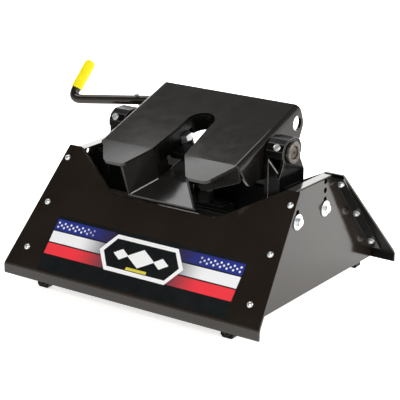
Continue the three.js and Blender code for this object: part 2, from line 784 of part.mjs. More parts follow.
node(head, 'head_plate', headPlate(), blackCoat);
node(head, 'throat_casting', throatCasting(), castBlack);
node(head, 'throat_floor', throatFloor(), blackCoat);
for (const [hand, place] of sides) {
  node(head, `throat_guide_${hand}`, place(throatGuide()), blackCoat);
  node(head, `front_web_${hand}`, place(frontWeb()), blackSatin);
  node(head, `pivot_pin_${hand}`, place(pivotPin()), bareSteel);
}
node(head, 'hook', hook(), castBlack);
node(head, 'hook_bolt', hookBolt(), zinc);
node(head, 'lock_bar', lockBar(), zinc);
node(head, 'latch_spring', latchSpring(), bareSteel);
node(head, 'handle_rod', handleRod(), blackCoat);
node(head, 'handle_bolt', handleBolt(), zinc);
node(head, 'handle_grip', gripSleeve(), yellowGrip);

hitch.position.x = CENTRE_X;

export default hitch;
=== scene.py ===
"""Looks of a fifth wheel hitch: coated sheet steel, plated bolts, a dipped grip and a plain decal."""

import json
import math
import random

import bmesh
import bpy
from mathutils import Matrix, Vector

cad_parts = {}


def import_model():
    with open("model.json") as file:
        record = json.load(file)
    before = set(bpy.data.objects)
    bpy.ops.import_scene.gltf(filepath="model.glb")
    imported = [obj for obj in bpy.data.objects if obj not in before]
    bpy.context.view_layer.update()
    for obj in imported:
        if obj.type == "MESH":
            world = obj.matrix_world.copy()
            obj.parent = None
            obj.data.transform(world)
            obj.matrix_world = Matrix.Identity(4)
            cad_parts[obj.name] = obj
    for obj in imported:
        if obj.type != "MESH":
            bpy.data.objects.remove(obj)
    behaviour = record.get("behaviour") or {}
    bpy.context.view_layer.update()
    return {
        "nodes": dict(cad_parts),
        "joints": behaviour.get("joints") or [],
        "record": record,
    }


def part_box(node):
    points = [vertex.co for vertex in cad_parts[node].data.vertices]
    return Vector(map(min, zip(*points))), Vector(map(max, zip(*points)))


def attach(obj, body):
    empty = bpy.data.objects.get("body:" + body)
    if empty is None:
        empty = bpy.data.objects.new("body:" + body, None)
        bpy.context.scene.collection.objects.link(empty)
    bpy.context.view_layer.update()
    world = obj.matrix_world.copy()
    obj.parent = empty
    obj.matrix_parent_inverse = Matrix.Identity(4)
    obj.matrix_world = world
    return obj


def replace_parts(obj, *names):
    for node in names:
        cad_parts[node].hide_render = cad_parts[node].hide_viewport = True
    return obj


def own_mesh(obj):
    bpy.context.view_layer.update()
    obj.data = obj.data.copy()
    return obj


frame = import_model()
random.seed(11)

MM = 0.001
SAME_POINT = 1e-7
NODES = frame["nodes"]
BODY_OF = {n: body for body, names in frame["record"]["behaviour"]["bodies"].items() for n in names}
X_AXIS = Vector((1, 0, 0))
Y_AXIS = Vector((0, 1, 0))


# ---------------------------------------------------------------- places taken from the frame
def joint(name):
    return next(j for j in frame["joints"] if j["name"] == name)


def mount(name):
    return next(m for m in frame["record"]["mounts"] if m["name"] == name)


def middle(node):
    low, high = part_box(node)
    return (low + high) / 2


CENTRE_X = middle("crossbeam").x
PIVOT = Vector(joint("head_pitch")["pos_m"])
HEAD_NORMAL = Vector(mount("trailer_plate_rest")["axis"]).normalized()
HEAD_ALONG = HEAD_NORMAL.cross(X_AXIS).normalized()
OUTWARD = {"left": -X_AXIS, "right": X_AXIS}
SIDE_SIGNS = (("left", -1), ("right", 1))


def vertex_mean(node):
    unique = {tuple(round(c, 6) for c in v.co) for v in NODES[node].data.vertices}
    return sum((Vector(c) for c in unique), Vector()) / len(unique)


def slope_of(node, sign):
    """Up-slope direction and outward normal of a sloped base panel, from the bolts that hold it."""
    first = vertex_mean(f"{node}_panel_bolt_right_1")
    last = vertex_mean(f"{node}_panel_bolt_right_3")
    along = (first - last).normalized()
    normal = X_AXIS.cross(along) * sign
    return along, normal.normalized()


def span(node, direction):
    """Start point on the axis through a turned node, and its length along a direction."""
    mean = vertex_mean(node)
    along = [(v.co - mean).dot(direction) for v in NODES[node].data.vertices]
    return mean + direction * min(along), max(along) - min(along)


# ---------------------------------------------------------------- material nodes
def smooth_range(tree, low, high, out_low, out_high):
    """A map range node that eases from one value to another."""
    node = tree.nodes.new("ShaderNodeMapRange")
    node.interpolation_type = "SMOOTHSTEP"
    limits = {"From Min": low, "From Max": high, "To Min": out_low, "To Max": out_high}
    for socket, number in limits.items():
        node.inputs[socket].default_value = number
    return node


class Nodes:
    """A short way to wire a material's nodes."""

    def __init__(self, name):
        self.material = bpy.data.materials.new(name)
        self.material.use_nodes = True
        self.tree = self.material.node_tree
        self.shader = self.tree.nodes["Principled BSDF"]
        self.place = self.tree.nodes.new("ShaderNodeTexCoord").outputs["Object"]

    def link(self, source, target):
        self.tree.links.new(source, target)

    def noise(self, scale, detail=3.0, rough=0.5, stretch=None):
        node = self.tree.nodes.new("ShaderNodeTexNoise")
        node.inputs["Scale"].default_value = scale
        node.inputs["Detail"].default_value = detail
        node.inputs["Roughness"].default_value = rough
        if stretch is None:
            self.link(self.place, node.inputs["Vector"])
        else:
            mapping = self.tree.nodes.new("ShaderNodeMapping")
            mapping.inputs["Scale"].default_value = stretch
            self.link(self.place, mapping.inputs["Vector"])
            self.link(mapping.outputs["Vector"], node.inputs["Vector"])
        return node.outputs["Fac"]

    def spread(self, value, low, high, out_low=0.0, out_high=1.0):
        node = smooth_range(self.tree, low, high, out_low, out_high)
        self.link(value, node.inputs["Value"])
        return node.outputs["Result"]

    def maths(self, operation, a, b):
        node = self.tree.nodes.new("ShaderNodeMath")
        node.operation = operation
        for socket, value in zip(node.inputs, (a, b)):
            if isinstance(value, (int, float)):
                socket.default_value = value
            else:
                self.link(value, socket)
        return node.outputs["Value"]

    def blend(self, factor, a, b):
        node = self.tree.nodes.new("ShaderNodeMix")
        node.data_type = "RGBA"
        self.link(factor, node.inputs["Factor"])
        for socket, value in zip(node.inputs[6:8], (a, b)):
            if isinstance(value, tuple):
                socket.default_value = (*value, 1)
            else:
                self.link(value, socket)
        return node.outputs[2]

    def edges(self):
        node = self.tree.nodes.new("ShaderNodeNewGeometry")
        return self.spread(node.outputs["Pointiness"], 0.52, 0.62)

    def bump(self, height, strength, distance, under=None):
        node = self.tree.nodes.new("ShaderNodeBump")
        node.inputs["Strength"].default_value = strength
        node.inputs["Distance"].default_value = distance
        self.link(height, node.inputs["Height"])
        if under is not None:
            self.link(under, node.inputs["Normal"])
        return node.outputs["Normal"]

    def finish(self, color=None, roughness=None, normal=None, metallic=None, **fixed):
        sockets = {"Base Color": color, "Roughness": roughness, "Normal": normal, "Metallic": metallic}
        for name, value in sockets.items():
            if value is None:
                continue
            socket = self.shader.inputs[name]
            if isinstance(value, tuple):
                socket.default_value = (*value, 1)
            elif isinstance(value, (int, float)):
                socket.default_value = value
            else:
                self.link(value, socket)
        for name, value in fixed.items():
            self.shader.inputs[name.replace("_", " ")].default_value = value
        return self.material


def coat(name, base, rough, ior, peel=0.012, specular=0.5):
    """Powder coat: smooth and glossy, with a fine orange peel, a little dust and faint hand marks."""
    n = Nodes(name)
    cloud = n.noise(9, 3, 0.55)
    smudges = n.noise(38, 4, 0.6)
    dust = n.spread(n.noise(520, 2, 0.5), 0.72, 0.80, 0, 0.35)
    color = n.blend(n.spread(cloud, 0.35, 0.7), base, tuple(1.25 * c for c in base))
    color = n.blend(dust, color, tuple(1.3 * c for c in base))
    roughness = n.spread(smudges, 0.3, 0.75, rough - 0.02, rough + 0.03)
    normal = n.bump(n.noise(420, 2, 0.5), peel, 0.0001)
    return n.finish(color, roughness, normal, 0.0, IOR=ior, Specular_IOR_Level=specular)


def worn_and_highlit_edge(name, color_low, color_high, rough):
    """The coat where it is thin and scuffed along an edge or a fold, and lightened as a painted highlight."""
    n = Nodes(name)
    patches = n.noise(210, 4, 0.65)
    color = n.blend(n.spread(patches, 0.38, 0.62), color_low, color_high)
    roughness = n.spread(patches, 0.3, 0.7, rough - 0.04, rough + 0.08)
    return n.finish(color, roughness, n.bump(patches, 0.10, 0.0001), 0.0, IOR=1.7)


def casting_paint(name, base, grain_scale, strength, ior):
    """Paint over a sand casting: a pebbly skin under a satin coat."""
    n = Nodes(name)
    grain = n.noise(grain_scale, 4, 0.6)
    lumps = n.noise(70, 3, 0.5)
    color = n.blend(n.spread(grain, 0.35, 0.75), base, tuple(1.8 * c for c in base))
    roughness = n.spread(lumps, 0.3, 0.7, 0.24, 0.36)
    normal = n.bump(grain, strength, 0.0004)
    normal = n.bump(lumps, 0.18, 0.0015, normal)
    return n.finish(color, roughness, normal, 0.0, IOR=ior, Specular_IOR_Level=0.3)


def zinc_plate(name, tone=1.0):
    """Bright zinc: cool silver with a faint blue and straw cast and fine scratches."""
    n = Nodes(name)
    cast = n.noise(160, 3, 0.6)
    fine = n.noise(900, 3, 0.6, (1, 1, 8))
    shades = ((0.80, 0.84, 0.90), (0.88, 0.87, 0.80), (0.42, 0.43, 0.45))
    cool, straw, dull = (tuple(tone * c for c in shade) for shade in shades)
    color = n.blend(n.spread(cast, 0.35, 0.70), cool, straw)
    color = n.blend(n.spread(n.noise(500, 3), 0.62, 0.74, 0, 0.5), color, dull)
    roughness = n.spread(fine, 0.3, 0.8, 0.20, 0.40)
    return n.finish(color, roughness, n.bump(fine, 0.12, 0.0002), 0.95)


def bare_steel(name, base, rough):
    """Machined steel with turning marks and a film of grease."""
    n = Nodes(name)
    turning = n.noise(700, 3, 0.6, (12, 1, 1))
    film = n.noise(60, 4, 0.6)
    color = n.blend(n.spread(film, 0.35, 0.7), base, tuple(0.45 * c for c in base))
    color = n.blend(n.edges(), color, (0.62, 0.60, 0.57))
    roughness = n.spread(film, 0.3, 0.75, rough, rough + 0.2)
    return n.finish(color, roughness, n.bump(turning, 0.2, 0.0003), 0.85)


def vinyl(name):
    """Dipped vinyl: a soft sheen, small runs and a few scuffs."""
    n = Nodes(name)
    runs = n.noise(45, 3, 0.5, (1, 1, 0.3))
    grain = n.noise(800, 2, 0.6)
    color = n.blend(n.spread(runs, 0.3, 0.75), (1.0, 0.90, 0.003), (0.95, 0.80, 0.002))
    color = n.blend(n.spread(n.noise(120, 5, 0.7), 0.64, 0.78, 0, 0.35), color, (0.38, 0.31, 0.03))
    roughness = n.spread(runs, 0.3, 0.7, 0.36, 0.50)
    normal = n.bump(grain, 0.15, 0.0003)
    return n.finish(color, roughness, n.bump(runs, 0.2, 0.002, normal), 0.0, IOR=1.33)


def rubber(name):
    """Dark moulded rubber with a matt grain."""
    n = Nodes(name)
    grain = n.noise(600, 3, 0.6)
    color = n.blend(n.spread(n.noise(40, 4), 0.35, 0.75), (0.004, 0.004, 0.004), (0.009, 0.008, 0.007))
    roughness = n.spread(grain, 0.3, 0.7, 0.6, 0.85)
    return n.finish(color, roughness, n.bump(grain, 0.4, 0.0005), 0.0, Specular_IOR_Level=0.15)


def film(name, inner, outer, start, end):
    """Printed vinyl film whose colour comes up from the middle of the panel to its ends."""
    n = Nodes(name)
    split = n.tree.nodes.new("ShaderNodeSeparateXYZ")
    n.link(n.place, split.inputs["Vector"])
    aside = n.maths("ABSOLUTE", n.maths("SUBTRACT", split.outputs["X"], CENTRE_X), 0)
    grain = n.noise(600, 2, 0.5)
    color = n.blend(n.spread(aside, start, end), inner, outer)
    color = n.blend(n.spread(grain, 0.5, 0.8, 0, 0.12), color, tuple(0.6 * c for c in outer))
    roughness = n.spread(n.noise(45, 3), 0.3, 0.7, 0.3, 0.36)
    return n.finish(color, roughness, n.bump(grain, 0.03, 0.0001), 0.0, IOR=1.45)


GLOSS = coat("gloss_powder_coat", (0.0155, 0.0115, 0.0085), 0.13, 1.55, 0.010)
DECK = coat("head_powder_coat", (0.0100, 0.0088, 0.0074), 0.16, 1.58)
# Painted shade: a darker, less reflective copy of the head coat for the head's side faces.
SHADED_SIDE_COAT = coat("shaded_head_side_coat", (0.0075, 0.0062, 0.0055), 0.20, 1.42, 0.03, 0.30)
# A satin copy of the coat, darkened as painted shade for the front webs under the head.
SATIN_SHADED_COAT = coat("satin_shaded_coat", (0.0050, 0.0040, 0.0035), 0.28, 1.28, 0.03, 0.25)
# Painted shade: the darkest, least reflective copy of the coat, for shaded parts of the base and the head's
# slot walls.
DEEP_SHADE_COAT = coat("shaded_powder_coat", (0.0030, 0.0028, 0.0026), 0.45, 1.30, 0.04, 0.10)
# Painted shade: a coat that hardly reflects, for the crossbeam's top face.
SHADED_TOP_COAT = coat("shaded_top_coat", (0.0060, 0.0055, 0.0050), 0.60, 1.30, 0.04, 0.02)
# Painted shade: a darker, less reflective copy of the gloss coat for the pivot plates, the lugs and the side
# panels' end faces.
SHADED_GLOSS_COAT = coat("shaded_gloss_coat", (0.0036, 0.0033, 0.0033), 0.14, 1.36, 0.03, 0.16)
GUIDE = coat("guide_powder_coat", (0.0085, 0.0070, 0.0058), 0.17, 1.42)
THROAT = coat("throat_powder_coat", (0.0160, 0.0145, 0.0140), 0.17, 1.75)
# Edge coats: wear, and a painted highlight where rounded edges catch the light.
EDGE = worn_and_highlit_edge("worn_and_highlit_edge_coat", (0.055, 0.050, 0.045), (0.110, 0.102, 0.094), 0.24)
# Painted highlight: near-white edge lines where edges catch the light.
PAINTED_HIGHLIGHT_EDGE = worn_and_highlit_edge("painted_highlight_edge", (0.32, 0.31, 0.30), (0.62, 0.60, 0.57), 0.22)
# The default edge coat: wear and a fainter painted highlight.
SOFT_EDGE = worn_and_highlit_edge("thin_worn_and_highlit_edge_coat", (0.020, 0.018, 0.016), (0.034, 0.031, 0.028), 0.22)
CAST = casting_paint("painted_casting", (0.0026, 0.0024, 0.0021), 330, 0.14, 1.28)
CAP = casting_paint("painted_cap", (0.0026, 0.0026, 0.0031), 260, 0.08, 1.22)
ZINC = zinc_plate("bright_zinc")
# Painted shade: a darker copy of the zinc for the bolt under the head.
SHADED_ZINC = zinc_plate("shaded_zinc", 0.52)
RING = bare_steel("greased_bushing_steel", (0.14, 0.128, 0.112), 0.36)
PIN = bare_steel("greased_pin_steel", (0.085, 0.072, 0.055), 0.33)
SPRING = bare_steel("spring_steel", (0.30, 0.29, 0.28), 0.28)
VINYL = vinyl("yellow_dipped_vinyl")
RUBBER = rubber("moulded_rubber")
BACKING = film("dark_film", (0.0030, 0.0045, 0.0052), (0.0036, 0.0060, 0.0068), 0.10, 0.25)
BLUE = film("blue_film", (0.030, 0.022, 0.060), (0.020, 0.035, 0.27), 0.085, 0.190)
WHITE = film("white_film", (0.10, 0.10, 0.12), (0.98, 0.98, 0.99), 0.080, 0.190)
RED = film("red_film", (0.14, 0.05, 0.06), (0.95, 0.046, 0.065), 0.080, 0.190)
DOT = film("dot_film", (0.03, 0.025, 0.07), (0.95, 0.95, 0.96), 0.120, 0.200)
EMBLEM = film("emblem_film", (0.98, 0.98, 0.98), (0.99, 0.99, 0.99), 0.0, 0.1)
ACCENT = film("accent_film", (0.75, 0.66, 0.07), (0.78, 0.70, 0.08), 0.0, 0.1)


# ---------------------------------------------------------------- mesh helpers
def add_object(name, mesh, material, body):
    piece = bpy.data.objects.new(name, mesh)
    bpy.context.scene.collection.objects.link(piece)
    mesh.materials.clear()
    mesh.materials.append(material)
    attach(piece, body)
    return piece


def weighted_normals(piece):
    modifier = piece.modifiers.new("even_shading", "WEIGHTED_NORMAL")
    modifier.keep_sharp = True
    modifier.weight = 80


MERGE_DISTANCE = 0.02 * MM
FLAT_ANGLE = math.radians(0.6)
FOLD_ANGLE = math.radians(8)
CORNER_ANGLE = math.radians(26)


def skin(node, material, edge=0.7, bends=None, bend=4.0, segments=2, edge_wear_and_highlight=None):
    """A CAD sheet or casting again with rounded edges and folds; edge and bend are their radii in mm."""
    mesh = bpy.data.meshes.new(f"{node}_finished")
    bm = bmesh.new()
    bm.from_mesh(NODES[node].data)
    bmesh.ops.remove_doubles(bm, verts=bm.verts, dist=MERGE_DISTANCE)
    bmesh.ops.dissolve_limit(bm, angle_limit=FLAT_ANGLE, verts=bm.verts, edges=bm.edges)
    if bends:
        folds = [e for e in bm.edges if e.calc_face_angle(0) > FOLD_ANGLE and bends(e)]
        bmesh.ops.bevel(bm, geom=folds, offset=bend * MM, segments=4, profile=0.5, affect="EDGES", material=0)
    weights = bm.edges.layers.float.new("bevel_weight_edge")
    for e in bm.edges:
        e.smooth = True
        if len(e.link_faces) == 2 and e.calc_face_angle(0) > CORNER_ANGLE:
            e[weights] = 1
    for f in bm.faces:
        f.smooth = True
        f.material_index = 0
    bm.to_mesh(mesh)
    bm.free()
    piece = add_object(f"{node}_finished", mesh, material, BODY_OF[node])
    # The bevels take the edge coat, wear and a painted highlight, or the coat that a part passes.
    mesh.materials.append(edge_wear_and_highlight or SOFT_EDGE)
    modifier = piece.modifiers.new("rounded_edges", "BEVEL")
    modifier.limit_method = "WEIGHT"
    modifier.width = edge * MM
    modifier.segments = segments
    modifier.material = 1
    modifier.use_clamp_overlap = True
    weighted_normals(piece)
    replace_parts(piece, node)
    return piece


def recoat(piece, material, chosen):
    """Gives the faces picked by their centre and normal a coat of their own."""
    mesh = piece.data
    mesh.materials.append(material)
    slot = len(mesh.materials) - 1
    for face in mesh.polygons:
        if chosen(face.center, face.normal):
            face.material_index = slot


def axes_for(direction):
    direction = Vector(direction).normalized()
    helper = X_AXIS if abs(direction.x) < 0.9 else Y_AXIS
    side = (helper - direction * helper.dot(direction)).normalized()
    return side, direction.cross(side), direction


def ring_points(start, axes, radius, distance, count):
    side, up, along = axes
    points = []
    for i in range(count):
        a = 2 * math.pi * i / count
        points.append(start + side * radius * math.cos(a) + up * radius * math.sin(a) + along * distance)
    return points


def softened(profile, radius):
    """Rounds the inner corners of a (radius, distance) profile, all in mm."""
    steps = 3
    out = [profile[0]]
    for before, corner, after in zip(profile, profile[1:], profile[2:]):
        b, c, a = Vector(before), Vector(corner), Vector(after)
        reach = min(radius, 0.45 * (b - c).length, 0.45 * (a - c).length)
        start, end = c + (b - c).normalized() * reach, c + (a - c).normalized() * reach
        for i in range(steps + 1):
            t = i / steps
            out.append(tuple(start.lerp(c, t).lerp(c.lerp(end, t), t)))
    out.append(profile[-1])
    return out


def loft(bm, rings, closed=False):
    """Skins a row of rings. A ring of one vertex is a point at the end."""
    pairs = list(zip(rings, rings[1:])) + ([(rings[-1], rings[0])] if closed else [])
    for a, b in pairs:
        count = max(len(a), len(b))
        for i in range(count):
            j = (i + 1) % count
            quad = [a[i % len(a)], a[j % len(a)], b[j % len(b)], b[i % len(b)]]
            face = [v for k, v in enumerate(quad) if v not in quad[:k]]
            if len(face) > 2:
                bm.faces.new(face)


def finish_mesh(bm, name, material, body, sharp=38):
    bmesh.ops.recalc_face_normals(bm, faces=bm.faces)
    for f in bm.faces:
        f.smooth = True
    for e in bm.edges:
        if len(e.link_faces) == 2:
            e.smooth = e.calc_face_angle(0) < math.radians(sharp)
    mesh = bpy.data.meshes.new(name)
    bm.to_mesh(mesh)
    bm.free()
    piece = add_object(name, mesh, material, body)
    weighted_normals(piece)
    return piece


def turned(bm, profile, start, direction, count=40, soften=0.5):
    """Adds a turned solid: a profile of (radius, distance) in mm, closed if its ends meet."""
    closed = profile[0] == profile[-1]
    if soften:
        if closed:
            wrapped = softened([profile[-2]] + profile[:-1] + [profile[0], profile[1]], soften)
            profile = wrapped[1:-1]
        else:
            profile = softened(profile, soften)
    axes = axes_for(direction)
    rings = []
    for radius, distance in profile:
        size = 1 if radius < 1e-6 else count
        points = ring_points(start, axes, max(radius, 0) * MM, distance * MM, size)
        rings.append([bm.verts.new(p) for p in points])
    if closed and (rings[0][0].co - rings[-1][0].co).length < SAME_POINT:
        rings.pop()
    loft(bm, rings, closed)


def hex_block(bm, flats, height, start, direction, turn=0.0, both=False, dish=0.0):
    """Adds a hexagon with the cone-cut corners of a bolt head or nut. Sizes in mm."""
    axes = axes_for(direction)
    count = 48
    dish_rim = 1.0
    half = flats / 2
    cone = 0.97 * half
    rise = math.tan(math.radians(30))

    def edge_radius(i):
        angle = (2 * math.pi * i / count) % (math.pi / 3) - math.pi / 6
        return half / math.cos(angle)

    def ring(radius_of, distance_of):
        side, up, along = axes
        verts = []
        for i in range(count):
            a = turn + 2 * math.pi * i / count
            spoke = side * math.cos(a) + up * math.sin(a)
            verts.append(bm.verts.new(start + (spoke * radius_of(i) + along * distance_of(i)) * MM))
        return verts

    def drop(i):
        return (edge_radius(i) - cone) * rise

    rings = [[bm.verts.new(start)]]
    if both:
        rings.append(ring(lambda i: cone, lambda i: 0.0))
        rings.append(ring(edge_radius, drop))
    else:
        rings.append(ring(edge_radius, lambda i: 0.0))
    rings.append(ring(edge_radius, lambda i: height - drop(i)))
    rings.append(ring(lambda i: cone, lambda i: height))
    rings.append(ring(lambda i: cone - dish_rim, lambda i: height - dish))
    rings.append([bm.verts.new(start + axes[2] * (height - dish) * MM)])
    loft(bm, rings)


def washer(bm, outer, bore, thick, start, direction):
    profile = [(bore, 0), (outer, 0), (outer, thick), (bore, thick), (bore, 0)]
    turned(bm, profile, start, direction, 48, 0.35)


def threaded_end(bm, radius, length, start, direction, pitch=1.5):
    """A bolt's thread, as close rings, with a chamfered end."""
    root, chamfered = radius - 0.85, radius - 1.4
    profile = [(radius - 0.9, 0)]
    turns = int(length / pitch) - 1
    for i in range(turns):
        profile += [(root, i * pitch), (radius, i * pitch + 0.5 * pitch)]
    profile += [(root, turns * pitch), (chamfered, length), (0, length)]
    turned(bm, [(0, 0)] + profile, start, direction, 24, 0)


def sweep(bm, points, radius_of, count=24):
    """A tube along points, with a frame that doesn't twist."""
    side, up, _ = axes_for(points[1] - points[0])
    rings = [[bm.verts.new(points[0])]]
    for i, p in enumerate(points):
        tangent = (points[min(i + 1, len(points) - 1)] - points[max(i - 1, 0)]).normalized()
        side = (side - tangent * side.dot(tangent)).normalized()
        up = tangent.cross(side)
        r = radius_of(i / (len(points) - 1))
        angles = [2 * math.pi * k / count for k in range(count)]
        rings.append([bm.verts.new(p + (side * math.cos(a) + up * math.sin(a)) * r) for a in angles])
    rings.append([bm.verts.new(points[-1])])
    loft(bm, rings)


def weld(name, stretches, radius, body, material=None):
    """Painted weld beads along straight stretches, with the ripples of the puddle."""
    bm = bmesh.new()
    pitch = 3.2 * MM
    steps_a_ripple = 4
    for start, end in stretches:
        steps = max(8, int((end - start).length / pitch * steps_a_ripple))
        points = [start.lerp(end, i / steps) for i in range(steps + 1)]
        ripple = []
        for i in range(steps + 1):
            wave = 0.10 * math.sin(2 * math.pi * i / steps_a_ripple)
            ripple.append(1 + wave + random.uniform(-0.05, 0.05))
        ripple[0] = ripple[-1] = 0.55
        sweep(bm, points, lambda t: radius * MM * ripple[round(t * steps)], 10)
    # Beads take the deep shade coat, a painted shade, unless given another.
    return finish_mesh(bm, name, material or DEEP_SHADE_COAT, body, 60)


# ---------------------------------------------------------------- base sheet metal
PANEL_BEND_Z = 51 * MM
LIP_REACH = 3.5 * MM  # how far from the bend line a fold edge may lie
LIP_LENGTH = 300 * MM  # and the least width that it has
SIDE_FOLD_X = 310 * MM  # outer face of a side panel
SIDE_FOLD_LENGTH = 100 * MM
SAME_X = 0.5 * MM
FOLD_REACH = 0.6 * MM


def lip_bend(edge):
    """The long folds between the slope of a panel and its upright lip."""
    a, b = edge.verts
    return abs((a.co.z + b.co.z) / 2 - PANEL_BEND_Z) < LIP_REACH and abs(a.co.x - b.co.x) > LIP_LENGTH


skin("front_panel", GLOSS, 0.7, lip_bend, 4.0)
rear_panel = skin("rear_panel", GLOSS, 0.7, lip_bend, 4.0)
# Painted shade: the rear panel's faces that look forward, into the base.
recoat(rear_panel, DEEP_SHADE_COAT, lambda centre, normal: normal.y < -0.3)


def side_bend(edge):
    """The long outer folds of a side panel."""
    a, b = edge.verts
    outer = max(abs(a.co.x - CENTRE_X), abs(b.co.x - CENTRE_X))
    same_x = abs(a.co.x - b.co.x) < SAME_X
    on_fold = abs(outer - SIDE_FOLD_X) < FOLD_REACH
    return same_x and on_fold and (a.co - b.co).length > SIDE_FOLD_LENGTH


for hand in ("left", "right"):
    side = skin(f"side_panel_{hand}", GLOSS, 0.7, side_bend, 2.5, edge_wear_and_highlight=EDGE)
    # Painted shade on the side panel's faces that look forward and back.
    recoat(side, SHADED_GLOSS_COAT, lambda centre, normal: abs(normal.y) > 0.3)
    # Painted shade: the end plates are in the deep shade coat.
    skin(f"end_plate_{hand}", DEEP_SHADE_COAT, 0.6, edge_wear_and_highlight=DEEP_SHADE_COAT)
    # Painted shade: the pivot plates and gussets are in the shaded gloss coat.
    skin(f"pivot_upright_inner_{hand}", SHADED_GLOSS_COAT, 0.8)
    skin(f"pivot_upright_outer_{hand}", SHADED_GLOSS_COAT, 0.8)
    skin(f"pivot_cap_{hand}", CAP, 0.9)
    # Painted highlight: the right front gusset's edges are near white, and the left one's keep the plain
    # coat.
    gusset_edge_highlight = PAINTED_HIGHLIGHT_EDGE if hand == "right" else SHADED_GLOSS_COAT
    skin(f"pivot_gusset_front_{hand}", SHADED_GLOSS_COAT, 1.4, edge_wear_and_highlight=gusset_edge_highlight)
    skin(f"pivot_gusset_rear_{hand}", SHADED_GLOSS_COAT, 1.4)
    skin(f"pitch_stop_pad_{hand}", RUBBER, 2.5, segments=3, edge_wear_and_highlight=RUBBER)
    skin(f"throat_guide_{hand}", GUIDE, 1.0)
    # Painted shade: the front webs are in the darker satin coat.
    skin(f"front_web_{hand}", SATIN_SHADED_COAT, 0.8)
    for end in ("front", "rear"):
        # Painted shade: the lugs are in the shaded gloss coat.
        skin(f"mounting_lug_{end}_{hand}", SHADED_GLOSS_COAT, 1.2, segments=3)
# Painted shade: the crossbeam and the stop bar are in the deep shade coat.
crossbeam = skin("crossbeam", DEEP_SHADE_COAT, 1.0, edge_wear_and_highlight=DEEP_SHADE_COAT)
# Painted shade: the beam's top face hardly reflects.
recoat(crossbeam, SHADED_TOP_COAT, lambda centre, normal: normal.z > 0.9)
skin("pitch_stop_bar", DEEP_SHADE_COAT, 1.5, segments=3, edge_wear_and_highlight=DEEP_SHADE_COAT)


# ---------------------------------------------------------------- fasteners of the base
DOME = {"radius": 7.6, "rise": 4.4, "rim": 3.6, "angles": (0.25, 0.5, 0.8, 1.05, 1.3)}
PANEL_GRIP = 15.2  # from the top of a dome to its washer, behind both sheets
PANEL_BOLT = {"washer": (8.6, 5.1, 1.3), "nut": (13, 5.2), "thread": (4.9, 3.6), "pitch": 1.25}
HEIGHT_HEAD = 11  # how far a height bolt's washer and head stand out of the outer sheet
HEIGHT_GRIP = 14  # from the face of that sheet to the far side of the washer inside
HEIGHT_SHANK = (6.3, -11.3, 0.2)  # radius, and where it starts and ends from that face
HEIGHT_BOLT = {
    "outer_washer": (19, 6.6, 2.8), "head": (19, 8.0), "inner_washer": (15, 6.6, 2.4), "nut": (19, 10.5),
    "thread": (6.2, 5.0), "pitch": 1.75,
}
# In the tables a washer is its outer radius, bore and thickness, a head or nut its width across the
# flats and its height, and a thread end its radius and length.


def panel_bolt(end, hand, i, normal):
    """Dome head outside; washer, nut and thread end behind the flange."""
    node = f"{end}_panel_bolt_{hand}_{i}"
    into = -normal
    start, _ = span(node, into)

    def behind(distance):
        return start + into * distance * MM

    bm = bmesh.new()
    radius, rise = DOME["radius"], DOME["rise"]
    dome = [(0, 0)] + [(radius * math.sin(a), rise * (1 - math.cos(a))) for a in DOME["angles"]]
    dome += [(radius, DOME["rim"]), (radius, rise), (0, rise)]
    turned(bm, dome, start, into, 40, 0)
    washer(bm, *PANEL_BOLT["washer"], behind(PANEL_GRIP), into)
    nut_turn = random.uniform(0, 1)
    hex_block(bm, *PANEL_BOLT["nut"], behind(PANEL_GRIP + 1.4), into, turn=nut_turn, both=True)
    threaded_end(bm, *PANEL_BOLT["thread"], behind(PANEL_GRIP + 6.4), into, PANEL_BOLT["pitch"])
    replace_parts(finish_mesh(bm, f"{node}_set", ZINC, BODY_OF[node]), node)


def height_bolt(end, hand):
    """Washer and hex head outside; washer, nut and thread end inside."""
    node = f"height_bolt_{end}_{hand}"
    outward = OUTWARD[hand]
    start, length = span(node, outward)
    face = start + outward * (length - HEIGHT_HEAD * MM)

    def at(distance):
        return face + outward * distance * MM

    bm = bmesh.new()
    washer(bm, *HEIGHT_BOLT["outer_washer"], face, outward)
    head_turn = random.uniform(0, 1)
    hex_block(bm, *HEIGHT_BOLT["head"], at(3.0), outward, turn=head_turn, dish=0.25)
    radius, inner, outer = HEIGHT_SHANK
    turned(bm, [(0, inner), (radius, inner), (radius, outer), (0, outer)], face, outward, 32, 0.3)
    washer(bm, *HEIGHT_BOLT["inner_washer"], at(-HEIGHT_GRIP), outward)
    nut_turn = random.uniform(0, 1)
    hex_block(bm, *HEIGHT_BOLT["nut"], at(-HEIGHT_GRIP - 0.2), -outward, turn=nut_turn, both=True)
    threaded_end(bm, *HEIGHT_BOLT["thread"], at(-HEIGHT_GRIP - 10.6), -outward, HEIGHT_BOLT["pitch"])
    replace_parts(finish_mesh(bm, f"{node}_set", ZINC, BODY_OF[node]), node)


for end, sign in (("front", 1), ("rear", -1)):
    up_slope, normal = slope_of(end, sign)
    if end == "front":
        FRONT_UP, FRONT_NORMAL = up_slope, normal
    for hand in ("left", "right"):
        height_bolt(end, hand)
        for i in (1, 2, 3):
            panel_bolt(end, hand, i, normal)


# ---------------------------------------------------------------- pivots
BUSHING = {"bore": 15.3, "sleeve": 22, "rim": 27, "rim_length": 7, "chamfer": 1.6}
PIN_HEAD = {"radius": 23, "thickness": 10.7}
PIN_RADIUS = 15
CAP_FACE = Vector((0, -16, 9)).normalized()  # out of the sloped face of a pivot cap
CAP_BOLT = {"washer": (8.6, 3.2, 1.5), "head": (12, 5.4), "shank": 3.4}


